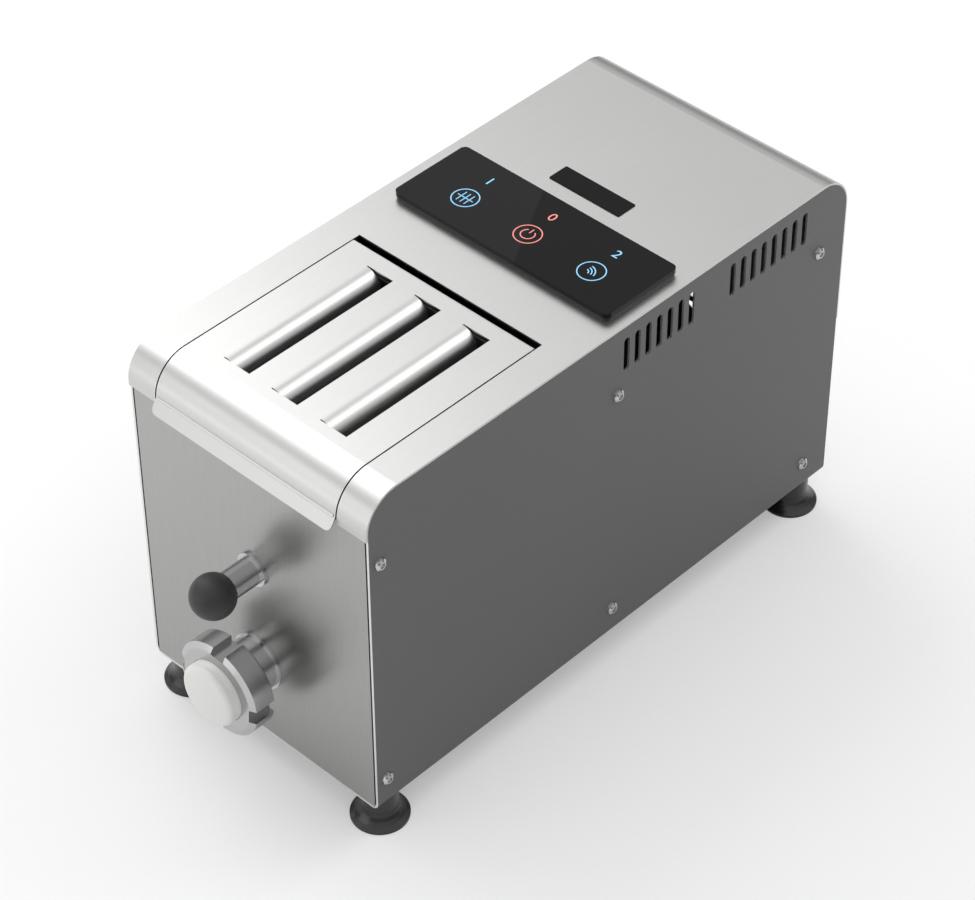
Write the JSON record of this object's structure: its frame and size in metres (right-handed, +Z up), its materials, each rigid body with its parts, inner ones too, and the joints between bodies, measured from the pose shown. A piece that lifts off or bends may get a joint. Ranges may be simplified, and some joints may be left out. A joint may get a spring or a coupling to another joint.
{
  "type": "electric pasta maker",
  "caption": "Electric pasta mixer and extruder: sheet steel body on suction feet, hinged slotted lid, front ring nut with blank plug, mixer pin and glass touch panel.",
  "frame": {"origin": "centre of the footprint on the surface the feet stand on", "axes": "+Z up, +Y from the front towards the back, +X to the right seen from the front"},
  "size_m": [0.2489, 0.5694, 0.3401],
  "materials": {
    "satin_steel": "satin brushed stainless sheet",
    "grey_steel": "matte grey side sheet",
    "polished_steel": "polished turned stainless",
    "bearing_steel": "ground steel",
    "aluminium": "cast and machined aluminium",
    "dark_paint": "dark motor paint",
    "black_glass": "black back-printed glass",
    "black_plastic": "moulded black plastic",
    "ball_plastic": "finely grained black knob",
    "white_plastic": "white food-grade plastic",
    "board_green": "circuit board",
    "black_rubber": "soft black rubber"
  },
  "bodies": {
    "base": {"hood": "satin_steel", "front_panel": "satin_steel", "casing": "grey_steel", "rear_panel": "grey_steel", "bulkhead": "grey_steel", "tub_rails": "grey_steel", "tub": "polished_steel", "extrusion_barrel": "polished_steel", "barrel_flange": "polished_steel", "pin_bush": "polished_steel", "side_screws": "polished_steel", "lid_hinge_pin": "polished_steel", "lid_hinge_ears": "polished_steel", "foot_studs": "polished_steel", "front_bearings": "bearing_steel", "rear_bearings": "bearing_steel", "gear_case_pillars": "bearing_steel", "front_bearing_plate": "aluminium", "rear_bearing_plate": "aluminium", "gearhead": "aluminium", "run_capacitor": "aluminium", "motor_body": "dark_paint", "motor_end_cap": "dark_paint", "motor_fan_cover": "dark_paint", "motor_cradle": "dark_paint", "glass_panel": "black_glass", "control_frame": "black_plastic", "power_inlet": "black_plastic", "lid_switch": "black_plastic", "board_posts": "black_plastic", "control_board": "board_green", "drive_board": "board_green", "suction_feet": "black_rubber", "lid_bumpers": "black_rubber", "mixer_seal": "black_rubber", "auger_seal": "black_rubber"},
    "lid_body": {"lid": "satin_steel", "lid_magnet": "bearing_steel"},
    "mixer": {"mixing_paddle": "polished_steel", "mixer_spindle": "bearing_steel", "mixer_gear": "bearing_steel"},
    "auger_body": {"auger": "polished_steel", "auger_gear": "bearing_steel"},
    "pinion_body": {"pinion": "bearing_steel", "drive_shaft": "bearing_steel"},
    "fan": {"motor_fan": "black_plastic"},
    "pin": {"mixer_pin": "polished_steel", "ball_knob": "ball_plastic"},
    "die": {"blank_die": "white_plastic", "die_seal": "black_rubber"},
    "nut": {"ring_nut": "polished_steel"}
  },
  "joints": [
    {"name": "lid_hinge", "type": "hinge", "parent": "base", "child": "lid_body", "pos_m": [0, -0.03395, 0.3287], "axis": [-1, 0, 0], "range_deg": [0, 100]},
    {"name": "mixer_spin", "type": "hinge", "parent": "base", "child": "mixer", "pos_m": [0, 0, 0.1956], "axis": [0, 1, 0], "continuous": true},
    {"name": "auger_spin", "type": "hinge", "parent": "base", "child": "auger_body", "pos_m": [0, 0, 0.1036], "axis": [0, 1, 0], "continuous": true},
    {"name": "pinion_spin", "type": "hinge", "parent": "base", "child": "pinion_body", "pos_m": [0, 0, 0.1496], "axis": [0, 1, 0], "continuous": true},
    {"name": "fan_spin", "type": "hinge", "parent": "base", "child": "fan", "pos_m": [0, 0, 0.1496], "axis": [0, 1, 0], "continuous": true},
    {"name": "pin_pull", "type": "slide", "parent": "base", "child": "pin", "axis": [0, -1, 0], "range_m": [0, 0.03]},
    {"name": "die_slide", "type": "slide", "parent": "base", "child": "die", "axis": [0, -1, 0], "range_m": [0, 0.012]},
    {"name": "nut_turn", "type": "hinge", "parent": "die", "child": "nut", "pos_m": [0, -0.26095, 0.1036], "axis": [0, -1, 0], "range_deg": [0, 1080]}
  ],
  "couplings": [
    {"joint": "auger_spin", "follows": "mixer_spin", "ratio": 1},
    {"joint": "pinion_spin", "follows": "mixer_spin", "ratio": -1.5556},
    {"joint": "fan_spin", "follows": "mixer_spin", "ratio": -31.111},
    {"joint": "die_slide", "follows": "nut_turn", "m_per_rad": 0.00063662}
  ]
}
